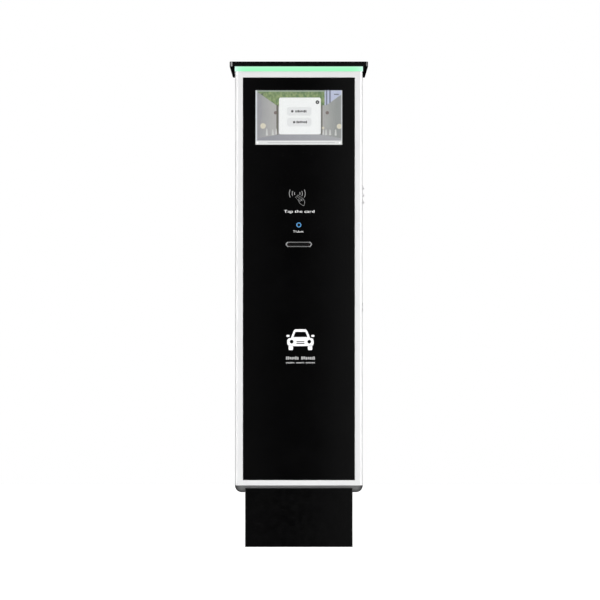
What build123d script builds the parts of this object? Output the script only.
from build123d import *
import math
import os

# A slim free-standing ticket machine: black plinth, white cabinet with a glass-fronted door,
# a lit strip and a flat black roof. Millimetres, +Z up, and the front faces -Y. The origin is
# on the ground in the middle of the roof's outline. Each function below makes one piece.

# Overall
ROOF_WIDTH = 345.5
ROOF_DEPTH = 300.0
ROOF_THICKNESS = 12.0
ROOF_CORNER = 7.0
BODY_HALF = 160.0
BODY_BOTTOM = 154.0
BODY_TOP = 1190.0
LIGHT_HEIGHT = 11.0
ROOF_BOTTOM = BODY_TOP + LIGHT_HEIGHT
SHEET = 2.0

# Door
DOOR_HALF = 157.5
DOOR_FRONT = -142.0
DOOR_BACK = -122.0
DOOR_BOTTOM = BODY_BOTTOM + 1.0
DOOR_TOP = BODY_TOP - 1.0
DOOR_EDGE_RADIUS = 6.0
DOOR_SOFT_EDGE = 0.6
GLASS_HALF = 140.0
GLASS_BOTTOM = 168.0
GLASS_TOP = 1174.0
GLASS_FRONT = -141.0
GLASS_BACK = -137.0
GLASS_GAP = 0.4
LEDGE_WIDTH = 9.0
TAPE_BACK = -136.0

# Cabinet shell
SHELL_FRONT = -118.0
SHELL_BACK = 140.0
PANEL_BACK = SHELL_BACK + SHEET
FRONT_FLANGE = 28.0
REAR_FLANGE = 28.0
END_FLANGE = 20.0
DECK_TOP = BODY_TOP + SHEET
DECK_FRONT = -133.0

# Bottom tray and plinth
TRAY_BOTTOM = 137.0
TRAY_CORNER = 17.0
PLINTH_HALF = 134.5
PLINTH_FRONT = -130.0
PLINTH_BACK = 125.0
PLINTH_LIP = 147.5
PLINTH_SHEET = 3.0
TRAY_FRONT = PLINTH_FRONT + PLINTH_SHEET
BASE_THICKNESS = 8.0
ANCHOR_X = 100.0
ANCHOR_Y = 90.0
ANCHOR_HOLE_RADIUS = 6.0
CONDUIT_RADIUS = 26.0

# Hinge, whose pins stand in the door's left edge
HINGE_X = -150.5
HINGE_Y = -128.0
HINGE_PIN_RADIUS = 3.0
HINGE_BUSH_RADIUS = 4.8
HINGE_LUG = 2.5
RUNNING_CLEARANCE = 0.05

# Things on the door
DISPLAY_WIDTH = 217.0
DISPLAY_HEIGHT = 136.0
DISPLAY_Z = 1074.0
READER_Z = 885.0
BUTTON_Z = 805.5
TICKET_Z = 757.0
SLOT_WIDTH = 58.0
SLOT_HEIGHT = 7.5
BEZEL_WIDTH = 66.6
BEZEL_HEIGHT = 14.8
SLEEVE_WIDTH = 62.0
SLEEVE_HEIGHT = 11.2
BUTTON_RING_RADIUS = 6.8
BUTTON_BORE_RADIUS = 3.8
BUTTON_CAP_RADIUS = 3.45

# Lock in the right side
LOCK_Y = -95.0
LOCK_Z = 600.0
LOCK_PLUG_RADIUS = 6.0
LOCK_BARREL_RADIUS = 9.0

# Louvres and fan on the right side
FAN_Y = -20.0
FAN_Z = 889.0
FAN_HALF = 40.0
LOUVRE_BOTTOMS = (865.0, 883.0, 901.0)
LOUVRE_HEIGHT = 11.5
LOUVRE_REACH = 6.0
LOUVRE_WALL = 1.3

# Printer
SHELF_TOP = 700.0
PLATEN_Y = -30.0
PLATEN_RADIUS = 6.0
PLATEN_Z = TICKET_Z - 0.2 - PLATEN_RADIUS
GEAR_MODULE = 1.0
GEAR_TEETH = 36
PINION_TEETH = 12
GEAR_CENTRES = GEAR_MODULE * (GEAR_TEETH + PINION_TEETH) / 2
GEAR_LINE_ANGLE = -50.0
GEAR_SPAN = (43.5, 49.5)
SHAFT_RADIUS = 3.0
MOTOR_Y = PLATEN_Y + GEAR_CENTRES * math.cos(math.radians(GEAR_LINE_ANGLE))
MOTOR_Z = PLATEN_Z + GEAR_CENTRES * math.sin(math.radians(GEAR_LINE_ANGLE))
CHASSIS_HALF = 42.0
COVER_HINGE_Y = 56.0
COVER_HINGE_Z = 784.0
ROLL_Y = 70.0
ROLL_Z = 880.0
ROLL_RADIUS = 42.0
ROLL_HALF = 29.0
SPINDLE_RADIUS = 5.0

# Equipment plate and what hangs on it
PLATE_FRONT = 118.0
PLATE_BACK = 120.0
BREAKER_PIVOT_Y = 50.0
BREAKER_PIVOT_Z = 460.0

# Cover screws: places on the rear panel and on the plinth's rear cover, as (x, z)
SCREW_RADIUS = 2.5
REAR_SCREWS = [(side * 150.0, z) for side in (-1, 1) for z in (185.0, 510.0, 835.0, 1160.0)]
PLINTH_SCREWS = [(side * 122.0, z) for side in (-1, 1) for z in (20.0, 114.0)]
PLINTH_BOLTS = [(side_x * 121.0, side_y * 95.0) for side_x in (-1, 1) for side_y in (-1, 1)]
GLANDS = [(-60.0, 95.0), (60.0, 95.0)]
GLAND_RADIUS = 10.0


# Basic shapes

def block(x, y, z):
    """A box between two X, two Y and two Z values."""
    sizes = [high - low for low, high in (x, y, z)]
    middles = [(low + high) / 2 for low, high in (x, y, z)]
    return Pos(*middles) * Box(*sizes)


def rod(axis, radius, span, centre):
    """A round bar along one axis; centre gives its place on the other two."""
    length = span[1] - span[0]
    middle = (span[0] + span[1]) / 2
    if axis == "x":
        return Pos(middle, *centre) * Rot(0, 90, 0) * Cylinder(radius, length)
    if axis == "y":
        return Pos(centre[0], middle, centre[1]) * Rot(90, 0, 0) * Cylinder(radius, length)
    return Pos(*centre, middle) * Cylinder(radius, length)


def tube(axis, outer, inner, span, centre):
    return rod(axis, outer, span, centre) - rod(axis, inner, span, centre)


def ring(half_x, z, wall, y):
    """A rectangular ring seen from the front, with its wall inside the given outline."""
    outer = block((-half_x, half_x), y, z)
    inner = block((wall - half_x, half_x - wall), y, (z[0] + wall, z[1] - wall))
    return outer - inner


def front_plane(y):
    """A sketch plane facing the front: its X is the machine's X and its Y is Z."""
    return Plane((0, y, 0), x_dir=(1, 0, 0), z_dir=(0, -1, 0))


def front_prism(sketch, y):
    """A sketch drawn as seen from the front, filled between two Y values."""
    return extrude(front_plane(y[1]) * sketch, y[1] - y[0])


def side_plane(x, y=0.0, z=0.0):
    """A sketch plane facing +X: its X is the machine's Y and its Y is Z."""
    return Plane((x, y, z), x_dir=(0, 1, 0), z_dir=(1, 0, 0))


def obround(width, height, y, z):
    return front_prism(Pos(0, z) * SlotOverall(width, height), y)


def outline_edges(solid, axis, last=True):
    """The edges of the solid's end face along an axis."""
    return solid.faces().sort_by(axis)[-1 if last else 0].edges()


def upright_front_edges(solid):
    """The vertical edges nearest the front."""
    return solid.edges().filter_by(Axis.Z).group_by(Axis.Y)[0]


def save(name, *solids):
    shape = solids[0] if len(solids) == 1 else Compound(children=list(solids))
    export_step(shape, f"parts/{name}.step")


# Roof and lit strip

def make_roof_cap():
    """Folded tray, open below, with soft upper edges."""
    outline = RectangleRounded(ROOF_WIDTH, ROOF_DEPTH, ROOF_CORNER)
    hollow = RectangleRounded(ROOF_WIDTH - 2 * SHEET, ROOF_DEPTH - 2 * SHEET, ROOF_CORNER - SHEET)
    cap = Pos(0, 0, ROOF_BOTTOM) * extrude(outline, ROOF_THICKNESS)
    cap = fillet(outline_edges(cap, Axis.Z), 1.0)
    return cap - Pos(0, 0, ROOF_BOTTOM) * extrude(hollow, ROOF_THICKNESS - SHEET)


def make_roof_soffit():
    """Plate that closes the roof from below."""
    margin = 2 * (SHEET + 0.3)
    outline = RectangleRounded(ROOF_WIDTH - margin, ROOF_DEPTH - margin, ROOF_CORNER - SHEET)
    return Pos(0, 0, ROOF_BOTTOM) * extrude(outline, SHEET)


def make_roof_risers():
    """Two side bars and a back bar that carry the roof above the deck."""
    z = (DECK_TOP, ROOF_BOTTOM)
    left = block((-152, -140), (-118, 130), z)
    right = block((140, 152), (-118, 130), z)
    back = block((-138, 138), (118, 130), z)
    return left, right, back


def make_light_diffuser():
    """Full-width bar with a channel behind for the light."""
    z = (BODY_TOP, ROOF_BOTTOM)
    bar = block((-BODY_HALF, BODY_HALF), (GLASS_FRONT, DECK_FRONT), z)
    bar = fillet(outline_edges(bar, Axis.Y, last=False), 0.8)
    channel = block((-145, 145), (GLASS_FRONT + 3, DECK_FRONT), (z[0] + 2.4, z[1] - 2.4))
    return bar - channel


def make_led_board():
    return block((-144, 144), (-131, -129.4), (DECK_TOP + 0.4, ROOF_BOTTOM - 0.4))


def make_leds():
    count = 18
    pitch = 15.6
    first = -pitch * (count - 1) / 2
    z = (DECK_TOP + 3, DECK_TOP + 6)
    return [
        block((first + k * pitch - 1.8, first + k * pitch + 1.8), (-132.2, -131), z)
        for k in range(count)
    ]


# Cabinet shell

def rear_screw_holes():
    y = (SHELL_BACK - SHEET, PANEL_BACK)
    return [rod("y", SCREW_RADIUS, y, place) for place in REAR_SCREWS]


def make_side_panel(side):
    """Flat skin with flange strips welded inside it at the front, back, bottom and top."""
    def wall(x_near, x_far, y, z):
        return block(sorted((side * x_near, side * x_far)), y, z)

    inside = BODY_HALF - SHEET
    z = (BODY_BOTTOM, BODY_TOP)
    run = (SHELL_FRONT + SHEET, SHELL_BACK - SHEET)
    skin = wall(inside, BODY_HALF, (SHELL_FRONT, SHELL_BACK), z)
    front = wall(BODY_HALF - FRONT_FLANGE, inside, (SHELL_FRONT, run[0]), z)
    rear = wall(BODY_HALF - REAR_FLANGE, inside, (run[1], SHELL_BACK), z)
    bottom = wall(BODY_HALF - END_FLANGE, inside, run, (BODY_BOTTOM, BODY_BOTTOM + SHEET))
    top = wall(BODY_HALF - END_FLANGE, inside, run, (BODY_TOP - SHEET, BODY_TOP))
    return skin, front, rear - rear_screw_holes(), bottom, top


def louvre_wedges(bottom):
    """The hood over one slot: its outside, and the space inside it, which opens downward."""
    top = bottom + LOUVRE_HEIGHT
    tip = BODY_HALF + LOUVRE_REACH
    slope = LOUVRE_REACH / LOUVRE_HEIGHT
    outer = Polygon((BODY_HALF - 1, bottom), (tip, bottom), (BODY_HALF, top), (BODY_HALF - 1, top),
                    align=None)
    under = bottom - 1
    deep = BODY_HALF - SHEET - 1
    inner_tip = tip - LOUVRE_WALL + slope
    inner_top = under + (inner_tip - deep) / slope
    inner = Polygon((deep, under), (inner_tip, under), (deep, inner_top), align=None)
    y = (FAN_Y - FAN_HALF, FAN_Y + FAN_HALF)
    inside_y = (y[0] + LOUVRE_WALL, y[1] - LOUVRE_WALL)
    return front_prism(outer, y), front_prism(inner, inside_y)


def make_right_side_panel():
    """Side panel with three hooded louvres and the lock's hole."""
    skin, *flanges = make_side_panel(1)
    for bottom in LOUVRE_BOTTOMS:
        hood, space = louvre_wedges(bottom)
        skin = skin + hood - space
    skin -= rod("x", LOCK_BARREL_RADIUS, (150, 170), (LOCK_Y, LOCK_Z))
    return skin, *flanges


def make_rear_panel():
    """Flat panel with two fields of ventilation slots."""
    panel = block((-BODY_HALF, BODY_HALF), (SHELL_BACK, PANEL_BACK), (BODY_BOTTOM, BODY_TOP))
    slots = [
        Pos(x, z) * SlotOverall(70, 3)
        for field in (230.0, 1080.0)
        for x in (-42.0, 42.0)
        for z in (field, field + 10, field + 20, field + 30, field + 40)
    ]
    for slot in slots:
        panel -= front_prism(slot, (SHELL_BACK, PANEL_BACK))
    return panel - rear_screw_holes()


def make_top_deck():
    """Plate over the cabinet; its folded front edge backs the door seal."""
    deck = block((-BODY_HALF, BODY_HALF), (DECK_FRONT, PANEL_BACK), (BODY_TOP, DECK_TOP))
    inner = BODY_HALF - FRONT_FLANGE
    deck += block((-inner, inner), (SHELL_FRONT, SHELL_FRONT + SHEET), (BODY_TOP - 26, BODY_TOP))
    return deck - rod("z", HINGE_PIN_RADIUS, (BODY_TOP - 1, DECK_TOP + 1), (HINGE_X, HINGE_Y))


def make_bottom_tray():
    """Shallow tray with rounded lower corners, a hinge lug and the lower seal flange."""
    def round_bar(inset, y):
        corner = TRAY_CORNER - inset
        width = 2 * (BODY_HALF - inset)
        height = 2 * (BODY_BOTTOM - TRAY_BOTTOM + corner)
        outline = Pos(0, TRAY_BOTTOM + inset + height / 2) * RectangleRounded(width, height, corner)
        return front_prism(outline, y)

    above = block((-200, 200), (-200, 200), (BODY_BOTTOM, BODY_BOTTOM + 100))
    tray = round_bar(0, (TRAY_FRONT, PANEL_BACK))
    tray -= round_bar(SHEET, (TRAY_FRONT + SHEET, PANEL_BACK - SHEET))
    tray -= above
    seal_half = BODY_HALF - FRONT_FLANGE
    seal_y = (SHELL_FRONT, SHELL_FRONT + SHEET)
    tray += block((-seal_half, seal_half), seal_y, (BODY_BOTTOM, BODY_BOTTOM + 26))
    top_half = BODY_HALF - SHEET
    top_z = (BODY_BOTTOM - SHEET, BODY_BOTTOM)
    tray += block((-top_half, top_half), (TRAY_FRONT + SHEET, SHELL_FRONT + SHEET), top_z)
    lug_z = (BODY_BOTTOM - HINGE_LUG, BODY_BOTTOM)
    tray += block((HINGE_X - 6, HINGE_X + 7), (HINGE_Y - 6, SHELL_FRONT), lug_z)
    tray -= rod("z", HINGE_PIN_RADIUS, lug_z, (HINGE_X, HINGE_Y))
    floor_span = (TRAY_BOTTOM - 1, TRAY_BOTTOM + SHEET + 1)
    tray -= [rod("z", GLAND_RADIUS, floor_span, place) for place in GLANDS]
    tray -= [rod("z", 4.0, floor_span, place) for place in PLINTH_BOLTS]
    return tray


def make_cover_screws():
    """Button-head screws of the rear panel and of the plinth's rear cover."""
    screws = []
    for places, face in ((REAR_SCREWS, PANEL_BACK), (PLINTH_SCREWS, PLINTH_BACK + SHEET)):
        for place in places:
            head = rod("y", 4.6, (face, face + 2.6), place)
            head = fillet(outline_edges(head, Axis.Y), 1.6)
            shank = rod("y", SCREW_RADIUS, (face - 2 * SHEET, face), place)
            hexagon = front_prism(Pos(*place) * RegularPolygon(1.7, 6), (face + 1.2, face + 3))
            screws.append(head + shank - hexagon)
    return screws


# Plinth

def make_plinth_shell():
    """Front and two sides; the front stands up in front of the tray as a lip."""
    inner = PLINTH_HALF - PLINTH_SHEET
    front_back = PLINTH_FRONT + PLINTH_SHEET
    front = block((-PLINTH_HALF, PLINTH_HALF), (PLINTH_FRONT, front_back), (0, PLINTH_LIP))
    lip_edge = front.edges().filter_by(Axis.X).group_by(Axis.Z)[-1].sort_by(Axis.Y)[0]
    shell = fillet(lip_edge, 2.0)
    for side in (-1, 1):
        x = sorted((side * inner, side * PLINTH_HALF))
        shell += block(x, (front_back, PLINTH_BACK), (0, TRAY_BOTTOM))
        x = sorted((side * 112, side * inner))
        shell += block(x, (front_back + 2, PLINTH_BACK - 4), (TRAY_BOTTOM - 3, TRAY_BOTTOM))
        shell += block(x, (PLINTH_BACK - SHEET, PLINTH_BACK), (BASE_THICKNESS, TRAY_BOTTOM))
    corners = shell.edges().filter_by(Axis.Z).group_by(Axis.Y)[0]
    shell = fillet(corners, 1.5)
    bolts = [rod("z", 4.0, (TRAY_BOTTOM - 4, TRAY_BOTTOM + 1), place) for place in PLINTH_BOLTS]
    y = (PLINTH_BACK - SHEET, PLINTH_BACK)
    screws = [rod("y", SCREW_RADIUS, y, place) for place in PLINTH_SCREWS]
    return shell - bolts - screws


def make_plinth_rear_cover():
    cover = block((-131, 131), (PLINTH_BACK, PLINTH_BACK + SHEET), (3, TRAY_BOTTOM - 3))
    y = (PLINTH_BACK, PLINTH_BACK + SHEET)
    return cover - [rod("y", SCREW_RADIUS, y, place) for place in PLINTH_SCREWS]


def make_base_plate():
    """Heavy plate with four anchor holes and the conduit entry."""
    inner = PLINTH_HALF - PLINTH_SHEET
    y = (PLINTH_FRONT + PLINTH_SHEET, PLINTH_BACK)
    plate = block((-inner, inner), y, (0, BASE_THICKNESS))
    for x in (-ANCHOR_X, ANCHOR_X):
        for y_hole in (-ANCHOR_Y, ANCHOR_Y):
            plate -= rod("z", ANCHOR_HOLE_RADIUS, (-1, BASE_THICKNESS + 1), (x, y_hole))
    return plate - rod("z", CONDUIT_RADIUS, (-1, BASE_THICKNESS + 1), (0, 0))


def make_plinth_bolts():
    """Hexagon bolts and nuts that hold the tray on the plinth."""
    bolts = []
    for x, y in PLINTH_BOLTS:
        head_z = TRAY_BOTTOM + SHEET
        head = Pos(x, y, head_z) * extrude(RegularPolygon(7.5, 6), 5.0)
        shank = rod("z", 4.0, (TRAY_BOTTOM - 12, head_z), (x, y))
        nut = Pos(x, y, TRAY_BOTTOM - 9) * extrude(RegularPolygon(7.5, 6), 6.0)
        bolts.append(head + shank + nut)
    return bolts


def make_cable_glands():
    """Two glands through the tray's floor, with a hexagon collar inside."""
    glands = []
    for x, y in GLANDS:
        collar = Pos(x, y, TRAY_BOTTOM + SHEET) * extrude(RegularPolygon(13, 6), 6.0)
        body = rod("z", GLAND_RADIUS, (TRAY_BOTTOM - 12, TRAY_BOTTOM + SHEET), (x, y))
        dome = rod("z", 9.0, (TRAY_BOTTOM + SHEET + 6, TRAY_BOTTOM + SHEET + 14), (x, y))
        dome = fillet(outline_edges(dome, Axis.Z), 3.0)
        bore = rod("z", 4.5, (TRAY_BOTTOM - 20, TRAY_BOTTOM + 30), (x, y))
        glands.append(collar + body + dome - bore)
    return glands


# Door

def make_door_frame():
    """Front sheet with rounded uprights, and the outer and inner rims welded behind it.

    The inner rim has a ledge that carries the glass.
    """
    z = (DOOR_BOTTOM, DOOR_TOP)
    body = block((-DOOR_HALF, DOOR_HALF), (DOOR_FRONT, DOOR_BACK), z)
    body = fillet(upright_front_edges(body), DOOR_EDGE_RADIUS)
    y_through = (DOOR_FRONT - 1, DOOR_BACK + 1)
    body -= block((-GLASS_HALF, GLASS_HALF), y_through, (GLASS_BOTTOM, GLASS_TOP))
    body = fillet(outline_edges(body, Axis.Y, last=False), DOOR_SOFT_EDGE)
    side_wall = DOOR_HALF - SHEET
    y_channel = (DOOR_FRONT + SHEET, DOOR_BACK + 1)
    channel = block((-side_wall, side_wall), y_channel, (z[0] + SHEET, z[1] - SHEET))
    channel = fillet(upright_front_edges(channel), DOOR_EDGE_RADIUS - SHEET)
    inner_wall = GLASS_HALF + SHEET
    keep = block((-inner_wall, inner_wall), y_channel, (GLASS_BOTTOM - SHEET, GLASS_TOP + SHEET))
    body -= channel - keep
    body += ring(GLASS_HALF, (GLASS_BOTTOM, GLASS_TOP), LEDGE_WIDTH, (TAPE_BACK, TAPE_BACK + SHEET))
    for low, high in ((z[0] + SHEET, z[0] + 14), (z[1] - 14, z[1] - SHEET)):
        body += block((-side_wall, HINGE_X + 7), (HINGE_Y - 6, DOOR_BACK), (low, high))
    body -= rod("z", HINGE_BUSH_RADIUS, (DOOR_BOTTOM - 1, DOOR_TOP + 1), (HINGE_X, HINGE_Y))
    front_sheet = block((-BODY_HALF, BODY_HALF), (DOOR_FRONT - 1, DOOR_FRONT + SHEET), z)
    return *(body & front_sheet).solids(), *(body - front_sheet).solids()


def make_panel_tape():
    """Foam tape that bonds the glass to the ledge."""
    half = GLASS_HALF - 1
    return ring(half, (GLASS_BOTTOM + 1, GLASS_TOP - 1), LEDGE_WIDTH - 2, (GLASS_BACK, TAPE_BACK))


def make_front_panel():
    """Glass sheet with openings for the display, the button and the ticket mouth."""
    half = GLASS_HALF - GLASS_GAP
    y = (GLASS_FRONT, GLASS_BACK)
    panel = block((-half, half), y, (GLASS_BOTTOM + GLASS_GAP, GLASS_TOP - GLASS_GAP))
    panel = chamfer(outline_edges(panel, Axis.Y, last=False), 0.3)
    half_width = DISPLAY_WIDTH / 2
    half_height = DISPLAY_HEIGHT / 2
    z = (DISPLAY_Z - half_height, DISPLAY_Z + half_height)
    panel -= block((-half_width, half_width), y, z)
    panel -= rod("y", 5.2, y, (0, BUTTON_Z))
    return panel - obround(SLEEVE_WIDTH + 0.4, SLEEVE_HEIGHT + 0.4, y, TICKET_Z)


def make_display_window():
    half_width = DISPLAY_WIDTH / 2 - 0.1
    half_height = DISPLAY_HEIGHT / 2 - 0.1
    z = (DISPLAY_Z - half_height, DISPLAY_Z + half_height)
    return block((-half_width, half_width), (GLASS_FRONT, GLASS_FRONT + 2), z)


def make_display_panel():
    """Display with a raised driver box and two sockets at its back."""
    panel = block((-116, 116), (GLASS_BACK, -127), (DISPLAY_Z - 76, DISPLAY_Z + 76))
    panel = fillet(panel.edges().filter_by(Axis.Y), 2.0)
    panel += block((-70, 50), (-127, -118), (DISPLAY_Z - 34, DISPLAY_Z + 34))
    for x in (-40, 10):
        socket = block((x, x + 22), (-127, -119), (DISPLAY_Z - 44, DISPLAY_Z - 34))
        panel += socket
        panel -= block((x + 3, x + 19), (-125, -121), (DISPLAY_Z - 45, DISPLAY_Z - 38))
    return panel


def make_display_straps():
    """Two flat straps across the door behind the display."""
    def strap(z):
        bar = block((-GLASS_HALF, GLASS_HALF), (-127, -125), (z, z + 18))
        return bar - [rod("y", 2.2, (-128, -124), (side * 128, z + 9)) for side in (-1, 1)]

    return strap(DISPLAY_Z - 68), strap(DISPLAY_Z + 48)


def make_card_reader():
    """Contactless reader bonded behind the glass."""
    reader = block((-42, 42), (GLASS_BACK, -119), (READER_Z - 50, READER_Z + 50))
    reader = fillet(reader.edges().filter_by(Axis.Y), 6.0)
    reader = fillet(outline_edges(reader, Axis.Y), 1.5)
    socket = block((-12, 12), (-123, -117), (READER_Z - 44, READER_Z - 34))
    return reader - socket


def make_ticket_bezel():
    """Obround bezel with a sleeve through the glass and a slot for the ticket."""
    flange = obround(BEZEL_WIDTH, BEZEL_HEIGHT, (GLASS_FRONT - 1.6, GLASS_FRONT), TICKET_Z)
    flange = fillet(outline_edges(flange, Axis.Y, last=False), 0.7)
    sleeve = obround(SLEEVE_WIDTH, SLEEVE_HEIGHT, (GLASS_FRONT, -130), TICKET_Z)
    slot = obround(SLOT_WIDTH, SLOT_HEIGHT, (-150, -120), TICKET_Z)
    return flange + sleeve - slot


def make_button_ring():
    """Coloured ring round the button, with a short sleeve through the glass."""
    centre = (0, BUTTON_Z)
    flange = rod("y", BUTTON_RING_RADIUS, (GLASS_FRONT - 1.4, GLASS_FRONT), centre)
    flange = fillet(outline_edges(flange, Axis.Y, last=False), 0.6)
    sleeve = rod("y", 5.0, (GLASS_FRONT, -135), centre)
    return flange + sleeve - rod("y", BUTTON_BORE_RADIUS, (-150, -130), centre)


def make_button_housing():
    """Square housing behind the glass that guides the stem and holds the spring."""
    centre = (0, BUTTON_Z)
    housing = block((-9, 9), (GLASS_BACK, -120), (BUTTON_Z - 9, BUTTON_Z + 9))
    housing = fillet(housing.edges().filter_by(Axis.Y), 2.0)
    housing -= rod("y", 5.2, (-138, -134), centre)
    housing -= rod("y", 2.0 + RUNNING_CLEARANCE, (-135, -130), centre)
    housing -= rod("y", 4.7, (-131, -122), centre)
    return housing - rod("y", 2.6, (-123, -119), centre)


def make_button_cap():
    """Cap, stem and collar in one turned piece."""
    centre = (0, BUTTON_Z)
    cap = rod("y", BUTTON_CAP_RADIUS, (GLASS_FRONT - 1.9, -138.6), centre)
    cap = fillet(outline_edges(cap, Axis.Y, last=False), 0.7)
    stem = rod("y", 2.0, (-138.6, -123.5), centre)
    collar = rod("y", 4.2, (-130.5, -129.5), centre)
    return cap + stem + collar


def make_button_spring():
    """Open coil between the collar and the housing's back wall."""
    wire_radius = 0.3
    path = Helix(pitch=1.3, height=6.2, radius=3.3)
    coil = sweep((path ^ 0) * Circle(wire_radius), path)
    return Pos(0, -122.5, BUTTON_Z) * Rot(90, 0, 0) * coil


def make_door_keeper():
    """Bent bracket whose hook reaches past the flange, for the lock's cam to hold."""
    z = (LOCK_Z + 8, LOCK_Z + 22)
    keeper = block((138, GLASS_HALF), (-133.5, -124), z)
    keeper += block((119, 138), (-126, -124), z)
    keeper += block((119, 121), (-124, -85), z)
    return keeper + block((121, 128), (-88, -85), z)


def make_hinge_bushes():
    """A plain bush in the door's lower and upper edge."""
    bore = HINGE_PIN_RADIUS + RUNNING_CLEARANCE
    spans = ((BODY_BOTTOM + 0.4, DOOR_BOTTOM + 14), (DOOR_TOP - 14, BODY_TOP - 0.4))
    return [tube("z", HINGE_BUSH_RADIUS, bore, span, (HINGE_X, HINGE_Y)) for span in spans]


def make_hinge_pins():
    """A pin riveted flush into the tray's lug, and a headed one down through the deck."""
    centre = (HINGE_X, HINGE_Y)
    lower = rod("z", HINGE_PIN_RADIUS, (BODY_BOTTOM - HINGE_LUG, DOOR_BOTTOM + 12), centre)
    upper = rod("z", HINGE_PIN_RADIUS, (DOOR_TOP - 12, DECK_TOP), centre)
    upper += rod("z", 4.5, (DECK_TOP, DECK_TOP + 2.5), centre)
    return lower, upper


def make_door_seal():
    """Soft ring on the shell's front flange that the door's inner wall closes against."""
    return ring(143, (GLASS_BOTTOM - 6, GLASS_TOP + 8), 10, (SHELL_FRONT - 3.5, SHELL_FRONT))


# Lock

def make_lock_barrel():
    """Round barrel with a thin head on the outside of the right panel."""
    centre = (LOCK_Y, LOCK_Z)
    head = rod("x", 11.0, (BODY_HALF, BODY_HALF + 1.2), centre)
    head = fillet(outline_edges(head, Axis.X), 0.5)
    barrel = rod("x", LOCK_BARREL_RADIUS, (132, BODY_HALF), centre)
    return head + barrel - rod("x", LOCK_PLUG_RADIUS + RUNNING_CLEARANCE, (130, 165), centre)


def make_lock_nut():
    hexagon = side_plane(153.0, LOCK_Y, LOCK_Z) * RegularPolygon(14, 6)
    return extrude(hexagon, 5.0) - rod("x", LOCK_BARREL_RADIUS, (150, 160), (LOCK_Y, LOCK_Z))


def make_lock_plug():
    """Turning plug with a keyway at its outer end and a neck that carries the cam."""
    centre = (LOCK_Y, LOCK_Z)
    plug = rod("x", LOCK_PLUG_RADIUS, (128, BODY_HALF + 0.8), centre)
    plug += rod("x", 4.0, (123, 128), centre)
    keyway = block((150, 165), (LOCK_Y - 0.7, LOCK_Y + 0.7), (LOCK_Z - 3.5, LOCK_Z + 3.5))
    return plug - keyway


def make_lock_cam():
    """Short lever that points to the front when unlocked."""
    lever = Pos(-9, 0) * Rectangle(18, 10) + Circle(6)
    hub_hole = Circle(4.0)
    return extrude(side_plane(124.0, LOCK_Y, LOCK_Z) * (lever - hub_hole), 3.0)


# Equipment plate

def make_equipment_plate():
    """Flat plate on two angle strips that stand it off the rear flanges."""
    z = (200, 1120)
    feet_back = SHELL_BACK - SHEET
    pieces = [block((-130, 130), (PLATE_FRONT, PLATE_BACK), z)]
    relief = [rod("y", 4.0, (feet_back - 4, feet_back + 1), place) for place in REAR_SCREWS]
    for side in (-1, 1):
        pieces.append(block(sorted((side * 128, side * 130)), (PLATE_BACK, feet_back), z))
        foot = block(sorted((side * 130, side * 157)), (feet_back - SHEET, feet_back), z)
        pieces.append(foot - relief)
    return pieces


def make_power_supply():
    """Metal case with a row of cooling slots and a terminal strip."""
    case = block((-100, 0), (66, PLATE_FRONT), (235, 400))
    case = fillet(case.edges().filter_by(Axis.Z), 1.5)
    for k in range(9):
        x = -92 + 10 * k
        case -= block((x, x + 4), (64, 70), (300, 385))
    strip = block((-90, -10), (66, 80), (235, 255))
    return case - strip + block((-88, -12), (68, 80), (240, 253))


def make_controller_box():
    """Computer in a finned case, with sockets along its lower edge."""
    case = block((-90, 90), (78, PLATE_FRONT), (970, 1085))
    case = fillet(case.edges().filter_by(Axis.Y), 3.0)
    for k in range(15):
        x = -84 + 12 * k
        case -= block((x, x + 6), (74, 86), (985, 1086))
    for x in (-75, -45, -15, 15, 45):
        case -= block((x, x + 18), (92, 106), (965, 978))
    return case


def make_din_rail():
    """Top-hat rail."""
    hat = Polygon((111, 442.5), (112, 442.5), (112, 447), (118, 447), (118, 448), (111, 448),
                  align=None)
    lower = side_plane(-105.0) * hat
    upper = side_plane(-105.0) * Pos(0, 2 * BREAKER_PIVOT_Z) * mirror(hat, Plane.XZ)
    web = side_plane(-105.0) * Pos(117.5, BREAKER_PIVOT_Z) * Rectangle(1, 26)
    return extrude(lower, 200) + extrude(upper, 200) + extrude(web, 200)


def make_circuit_breaker():
    """Stepped breaker with a slot for its toggle, clipped on the rail."""
    body = block((-95, -59), (62, 110.8), (418, 502)) + block((-95, -59), (48, 62), (437, 483))
    body = fillet(body.edges().filter_by(Axis.X).group_by(Axis.Y)[0], 2.0)
    well = block((-86, -68), (40, 58), (446, 474))
    return body - well


def make_breaker_toggle():
    """Short lever on a round hub; it points up when on."""
    hub = Circle(6.5)
    lever = Pos(-10, 4) * Rot(0, 0, -20) * RectangleRounded(14, 5, 1.5)
    centre_plane = side_plane(-85.0, BREAKER_PIVOT_Y, BREAKER_PIVOT_Z)
    return extrude(centre_plane * (hub + lever), 16.0)


def make_terminal_blocks():
    """Ten feed-through terminals on the rail."""
    blocks = []
    for k in range(10):
        x = -45 + 8.4 * k
        body = block((x, x + 8), (72, 110.8), (434, 486))
        body -= rod("y", 2.5, (70, 76), (x + 4, 443))
        body -= rod("y", 2.5, (70, 76), (x + 4, 477))
        blocks.append(body)
    return blocks


# Fan

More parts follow.
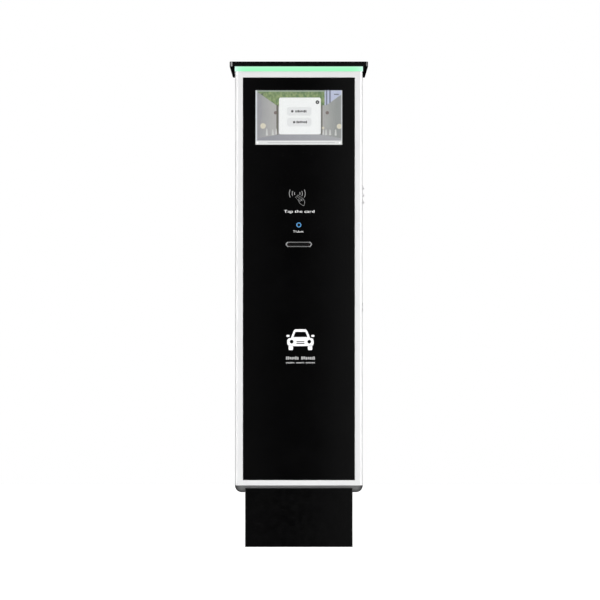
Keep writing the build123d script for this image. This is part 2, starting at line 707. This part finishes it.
def make_fan_frame():
    """Square frame on the right panel, with a stator disc on three arms and an axle."""
    x = (133, BODY_HALF - SHEET)
    y = (FAN_Y - FAN_HALF, FAN_Y + FAN_HALF)
    z = (FAN_Z - FAN_HALF, FAN_Z + FAN_HALF)
    centre = (FAN_Y, FAN_Z)
    frame = block(x, y, z)
    frame = fillet(frame.edges().filter_by(Axis.X), 4.0)
    frame -= rod("x", 38.0, (130, 160), centre)
    for side_y in (-1, 1):
        for side_z in (-1, 1):
            place = (FAN_Y + side_y * 35.5, FAN_Z + side_z * 35.5)
            frame -= rod("x", 2.2, (130, 160), place)
    frame += rod("x", 17.0, (133, 135), centre)
    arm = Pos(27, 0) * Rectangle(23, 4)
    for k in range(3):
        frame += extrude(side_plane(133.0, *centre) * Rot(0, 0, 30 + 120 * k) * arm, 2.0)
    return frame + rod("x", 2.0, (135, 148), centre)


def make_fan_rotor():
    """Hub with seven pitched blades, turning on the frame's axle."""
    centre = (FAN_Y, FAN_Z)
    rotor = rod("x", 17.0, (136, 154), centre)
    rotor = fillet(outline_edges(rotor, Axis.X), 1.5)
    blades = 7
    for k in range(blades):
        blade = Pos(145, 0, 25.5) * Rot(0, 0, 38) * Box(17, 1.4, 21)
        rotor += Pos(0, *centre) * Rot(360 * k / blades, 0, 0) * blade
    return rotor - rod("x", 2.0 + RUNNING_CLEARANCE, (130, 149), centre)


# Printer

def make_printer_shelf():
    """Flat shelf on the equipment plate, with a front lip and two gussets welded below it."""
    half = 100.0
    front = -64.0
    under = SHELF_TOP - SHEET
    shelf = block((-half, half), (front, PLATE_FRONT), (under, SHELF_TOP))
    lip = block((-half, half), (front, front + SHEET), (SHELF_TOP - 14, under))
    gusset = Polygon((PLATE_FRONT, 620), (PLATE_FRONT, under), (-40, under), (-40, under - 8),
                     align=None)
    gussets = [extrude(side_plane(x) * gusset, SHEET) for x in (-half, half - SHEET)]
    return shelf, lip, *gussets


def make_printer_chassis():
    """Folded U: floor and two side walls, with a fixed cutting edge across the front."""
    outer = CHASSIS_HALF
    inner = CHASSIS_HALF - SHEET
    chassis = block((-outer, outer), (-52, 62), (SHELF_TOP, SHELF_TOP + SHEET))
    for side in (-1, 1):
        x = sorted((side * inner, side * outer))
        chassis += block(x, (-52, 62), (SHELF_TOP, COVER_HINGE_Z + 5))
    chassis += block((-inner, inner), (-50, -48), (SHELF_TOP, TICKET_Z - 1))
    chassis -= rod("x", SHAFT_RADIUS + RUNNING_CLEARANCE, (-50, 50), (PLATEN_Y, PLATEN_Z))
    chassis -= rod("x", 4.0, (30, 50), (MOTOR_Y, MOTOR_Z))
    return chassis - rod("x", 1.5 + RUNNING_CLEARANCE, (-50, 50), (COVER_HINGE_Y, COVER_HINGE_Z))


def make_print_head():
    """Head over the platen, with cooling fins on top."""
    inner = CHASSIS_HALF - SHEET
    head = block((-inner, inner), (-38, -12), (TICKET_Z + 0.2, TICKET_Z + 14))
    for k in range(5):
        y = -35 + 5 * k
        head -= block((-36, 36), (y, y + 2.5), (TICKET_Z + 8, TICKET_Z + 15))
    return head


def make_platen_shaft():
    shaft = rod("x", SHAFT_RADIUS, (-46, 51), (PLATEN_Y, PLATEN_Z))
    return chamfer(outline_edges(shaft, Axis.X), 0.5)


def make_platen_roller():
    return tube("x", PLATEN_RADIUS, SHAFT_RADIUS, (-34, 34), (PLATEN_Y, PLATEN_Z))


def gear(teeth, first_angle, y, z, bore):
    """Spur gear with straight-sided teeth and plenty of backlash."""
    pitch = GEAR_MODULE * teeth / 2
    root = pitch - 1.3 * GEAR_MODULE
    tip = pitch + 0.8 * GEAR_MODULE
    foot = root - 0.3
    profile = Circle(root)
    tooth = Polygon((foot, -0.75), (tip, -0.3), (tip, 0.3), (foot, 0.75), align=None)
    for k in range(teeth):
        profile += Rot(0, 0, first_angle + 360 * k / teeth) * tooth
    profile -= Circle(bore)
    return extrude(side_plane(GEAR_SPAN[0], y, z) * profile, GEAR_SPAN[1] - GEAR_SPAN[0])


def make_platen_gear():
    """The gear has a tooth on the line of centres."""
    return gear(GEAR_TEETH, GEAR_LINE_ANGLE, PLATEN_Y, PLATEN_Z, SHAFT_RADIUS)


def make_motor_pinion():
    """The pinion has a gap on the line of centres; its shaft turns in the motor."""
    first = GEAR_LINE_ANGLE + 180 + 180 / PINION_TEETH
    wheel = gear(PINION_TEETH, first, MOTOR_Y, MOTOR_Z, 1.5)
    return wheel + rod("x", 2.0, (30, 51), (MOTOR_Y, MOTOR_Z))


def make_printer_motor():
    """Round can with a rear cap, bored for the pinion's shaft."""
    centre = (MOTOR_Y, MOTOR_Z)
    motor = rod("x", 14.0, (2, CHASSIS_HALF - SHEET), centre)
    motor = fillet(outline_edges(motor, Axis.X, last=False), 1.5)
    motor += rod("x", 8.0, (-2, 2), centre)
    return motor - rod("x", 2.0 + RUNNING_CLEARANCE, (29, 45), centre)


def make_cutter_blade():
    """Sliding blade with a slanted lower edge and two lightening holes."""
    outline = Polygon((-33, 762), (33, 759), (33, 780), (-33, 780), align=None)
    blade = front_prism(outline, (-52.2, -50.6))
    return blade - [rod("y", 3.0, (-54, -49), (x, 773)) for x in (-22, 22)]


def make_printer_cover():
    """Lid between the chassis walls, turning on a cross rod at the back."""
    half = CHASSIS_HALF - SHEET - 0.5
    cover = block((-half, half), (-46, COVER_HINGE_Y), (COVER_HINGE_Z + 1.5, COVER_HINGE_Z + 3.5))
    cover += block((-half, half), (-46, -44), (COVER_HINGE_Z - 3, COVER_HINGE_Z + 1.5))
    cover += rod("x", 3.2, (-half, half), (COVER_HINGE_Y, COVER_HINGE_Z))
    cover += rod("x", 1.5, (-44, 44), (COVER_HINGE_Y, COVER_HINGE_Z))
    for k in range(5):
        y = -20 + 12 * k
        cover -= block((-24, 24), (y, y + 5), (COVER_HINGE_Z, COVER_HINGE_Z + 4))
    return cover


def make_ticket_guide():
    """Flat duct from the cutter to the mouth, on a foot that stands on the shelf."""
    duct = block((-34, 34), (-125, -54), (TICKET_Z - 7, TICKET_Z + 7))
    duct += block((-34, 34), (-62, -54), (SHELF_TOP, TICKET_Z - 7))
    duct += block((-38, 38), (-60, -54), (TICKET_Z - 10, TICKET_Z + 10))
    return duct - block((-30.5, 30.5), (-130, -50), (TICKET_Z - 4, TICKET_Z + 4))


def make_roll_bracket():
    """Two arms from the equipment plate with the spindle between them."""
    bracket = rod("x", SPINDLE_RADIUS, (-35, 35), (ROLL_Y, ROLL_Z))
    for x in (-37, 35):
        arm = block((x, x + 2), (ROLL_Y - 10, PLATE_FRONT), (ROLL_Z - 12, ROLL_Z + 12))
        front_edges = arm.edges().filter_by(Axis.X).group_by(Axis.Y)[0]
        bracket += fillet(front_edges, 8.0)
    for x in ((-57, -37), (37, 57)):
        bracket += block(x, (PLATE_FRONT - SHEET, PLATE_FRONT), (ROLL_Z - 12, ROLL_Z + 12))
    return bracket


def make_paper_roll():
    return tube("x", ROLL_RADIUS, 8.0, (-ROLL_HALF, ROLL_HALF), (ROLL_Y, ROLL_Z))


def make_roll_core():
    bore = SPINDLE_RADIUS + RUNNING_CLEARANCE
    return tube("x", 8.0, bore, (-ROLL_HALF, ROLL_HALF), (ROLL_Y, ROLL_Z))


def main():
    os.makedirs("parts", exist_ok=True)
    save("roof_cap", make_roof_cap())
    save("roof_soffit", make_roof_soffit())
    save("roof_risers", *make_roof_risers())
    save("light_diffuser", make_light_diffuser())
    save("led_board", make_led_board())
    save("leds", *make_leds())
    save("left_side_panel", *make_side_panel(-1))
    save("right_side_panel", *make_right_side_panel())
    save("rear_panel", make_rear_panel())
    save("top_deck", make_top_deck())
    save("bottom_tray", make_bottom_tray())
    save("cover_screws", *make_cover_screws())
    save("plinth_shell", make_plinth_shell())
    save("plinth_rear_cover", make_plinth_rear_cover())
    save("base_plate", make_base_plate())
    save("plinth_bolts", *make_plinth_bolts())
    save("cable_glands", *make_cable_glands())
    save("door_frame", *make_door_frame())
    save("panel_tape", make_panel_tape())
    save("front_panel", make_front_panel())
    save("display_window", make_display_window())
    save("display_panel", make_display_panel())
    save("display_straps", *make_display_straps())
    save("card_reader", make_card_reader())
    save("ticket_bezel", make_ticket_bezel())
    save("button_ring", make_button_ring())
    save("button_housing", make_button_housing())
    save("button_cap", make_button_cap())
    save("button_spring", make_button_spring())
    save("door_keeper", make_door_keeper())
    save("hinge_bushes", *make_hinge_bushes())
    save("hinge_pins", *make_hinge_pins())
    save("door_seal", make_door_seal())
    save("lock_barrel", make_lock_barrel())
    save("lock_nut", make_lock_nut())
    save("lock_plug", make_lock_plug())
    save("lock_cam", make_lock_cam())
    save("equipment_plate", *make_equipment_plate())
    save("power_supply", make_power_supply())
    save("controller_box", make_controller_box())
    save("din_rail", make_din_rail())
    save("circuit_breaker", make_circuit_breaker())
    save("breaker_toggle", make_breaker_toggle())
    save("terminal_blocks", *make_terminal_blocks())
    save("fan_frame", make_fan_frame())
    save("fan_rotor", make_fan_rotor())
    save("printer_shelf", *make_printer_shelf())
    save("printer_chassis", make_printer_chassis())
    save("print_head", make_print_head())
    save("platen_shaft", make_platen_shaft())
    save("platen_roller", make_platen_roller())
    save("platen_gear", make_platen_gear())
    save("motor_pinion", make_motor_pinion())
    save("printer_motor", make_printer_motor())
    save("cutter_blade", make_cutter_blade())
    save("printer_cover", make_printer_cover())
    save("ticket_guide", make_ticket_guide())
    save("roll_bracket", make_roll_bracket())
    save("paper_roll", make_paper_roll())
    save("roll_core", make_roll_core())


main()
